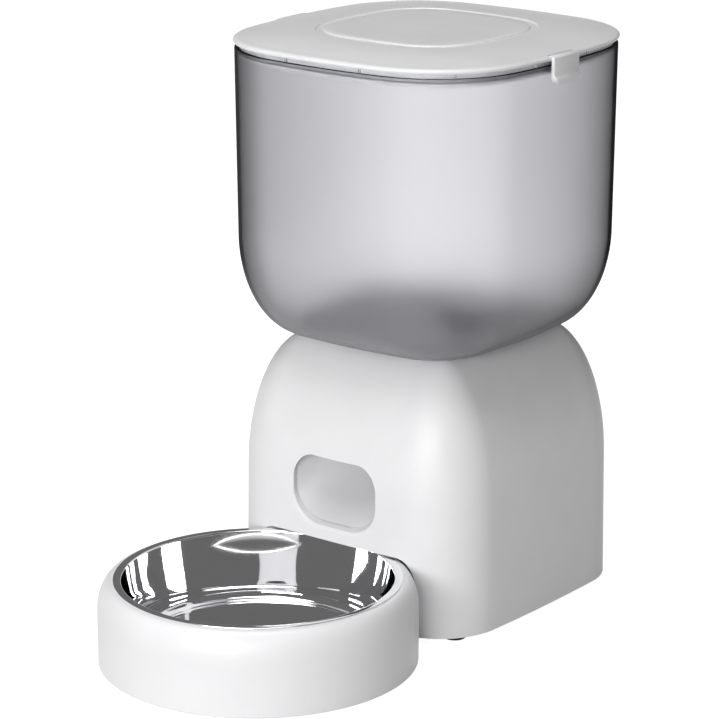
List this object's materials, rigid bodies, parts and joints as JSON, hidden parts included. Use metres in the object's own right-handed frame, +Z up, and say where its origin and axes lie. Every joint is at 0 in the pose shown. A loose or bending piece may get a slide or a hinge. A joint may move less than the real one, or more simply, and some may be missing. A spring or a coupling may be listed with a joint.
{
  "type": "automatic pet feeder",
  "caption": "Upright dry-food feeder: lidded translucent hopper on a rounded base with a motor-driven rotor, sloping chute and a round steel bowl in a slide-out holder.",
  "frame": {"origin": "on the floor under the middle of the whole footprint, hopper behind and bowl in front", "axes": "+Z up, -Y towards the bowl and the pet, +X to the right as seen from the bowl's side of the picture"},
  "size_m": [0.186, 0.3192, 0.3114],
  "materials": {
    "white_plastic": "fine moulded texture",
    "chute_grey": "fine moulded texture",
    "smoke_plastic": "translucent smoke grey, frosted inside",
    "polished_steel": "mirror-polished stainless steel",
    "dark_rubber": "matt",
    "silicone": "soft matt",
    "zinc_steel": "zinc plated",
    "gear_plastic": "natural acetal",
    "bush_brass": "sintered",
    "board_green": "solder mask",
    "black_plastic": "moulded",
    "clear_pipe": "clear"
  },
  "bodies": {
    "base": {"base_shell": "white_plastic", "base_plate": "white_plastic", "battery_box": "white_plastic", "food_chute": "chute_grey", "rubber_feet": "dark_rubber", "plate_screws": "zinc_steel", "gearbox_screws": "zinc_steel", "motor_screws": "zinc_steel", "board_screws": "zinc_steel", "idler_axle": "zinc_steel", "drive_motor": "zinc_steel", "battery_contacts": "zinc_steel", "gearbox_housing": "gear_plastic", "gearbox_cover": "gear_plastic", "output_bush": "bush_brass", "circuit_board": "board_green", "power_inlet": "black_plastic", "light_pipe": "clear_pipe"},
    "hopper": {"hopper_tank": "smoke_plastic", "rotor_housing": "white_plastic", "housing_screws": "zinc_steel", "rotor_cover": "white_plastic"},
    "rotor": {"food_rotor": "silicone"},
    "lid": {"lid_shell": "white_plastic", "lid_liner": "white_plastic", "lid_seal": "silicone", "lid_screws": "zinc_steel", "desiccant_box": "white_plastic", "latch_pins": "zinc_steel"},
    "desiccant_cap": {"desiccant_cover": "white_plastic"},
    "left_latch": {"latch_left": "white_plastic"},
    "right_latch": {"latch_right": "white_plastic"},
    "output": {"output_gear": "gear_plastic"},
    "idler": {"idler_gear": "gear_plastic"},
    "pinion": {"motor_pinion": "gear_plastic", "motor_shaft": "zinc_steel"},
    "button": {"feed_button": "white_plastic"},
    "door": {"battery_door": "white_plastic"},
    "tray": {"bowl_holder": "white_plastic", "steel_bowl": "polished_steel", "holder_pads": "dark_rubber"}
  },
  "joints": [
    {"name": "hopper_lift", "type": "slide", "parent": "base", "child": "hopper", "axis": [0, 0, 1], "range_m": [0, 0.06]},
    {"name": "rotor_spin", "type": "hinge", "parent": "hopper", "child": "rotor", "pos_m": [0, 0.06715, 0.1235], "axis": [0, 0, 1], "continuous": true},
    {"name": "lid_lift", "type": "slide", "parent": "hopper", "child": "lid", "axis": [0, 0, 1], "range_m": [0, 0.05]},
    {"name": "desiccant_cap_pull", "type": "slide", "parent": "lid", "child": "desiccant_cap", "axis": [0, 0, -1], "range_m": [0, 0.015]},
    {"name": "left_latch_swing", "type": "hinge", "parent": "lid", "child": "left_latch", "pos_m": [-0.0882, 0.06415, 0.307], "axis": [0, 1, 0], "range_deg": [0, 60]},
    {"name": "right_latch_swing", "type": "hinge", "parent": "lid", "child": "right_latch", "pos_m": [0.0882, 0.06415, 0.307], "axis": [0, -1, 0], "range_deg": [0, 60]},
    {"name": "output_spin", "type": "hinge", "parent": "base", "child": "output", "pos_m": [0, 0.06715, 0.102], "axis": [0, 0, 1], "continuous": true},
    {"name": "idler_spin", "type": "hinge", "parent": "base", "child": "idler", "pos_m": [0, 0.09465, 0.102], "axis": [0, 0, 1], "continuous": true},
    {"name": "pinion_spin", "type": "hinge", "parent": "base", "child": "pinion", "pos_m": [0.0275, 0.09465, 0.102], "axis": [0, 0, 1], "continuous": true},
    {"name": "button_press", "type": "slide", "parent": "base", "child": "button", "axis": [0, -1, 0], "range_m": [0, 0.001], "stiffness_N_per_m": 600},
    {"name": "battery_door_slide", "type": "slide", "parent": "base", "child": "door", "axis": [0, 1, 0], "range_m": [0, 0.006]},
    {"name": "tray_slide", "type": "slide", "parent": "base", "child": "tray", "axis": [0, -1, 0], "range_m": [0, 0.06]}
  ],
  "couplings": [
    {"joint": "output_spin", "follows": "rotor_spin", "ratio": 1},
    {"joint": "idler_spin", "follows": "rotor_spin", "ratio": -2.6667},
    {"joint": "pinion_spin", "follows": "rotor_spin", "ratio": 7.1111}
  ]
}
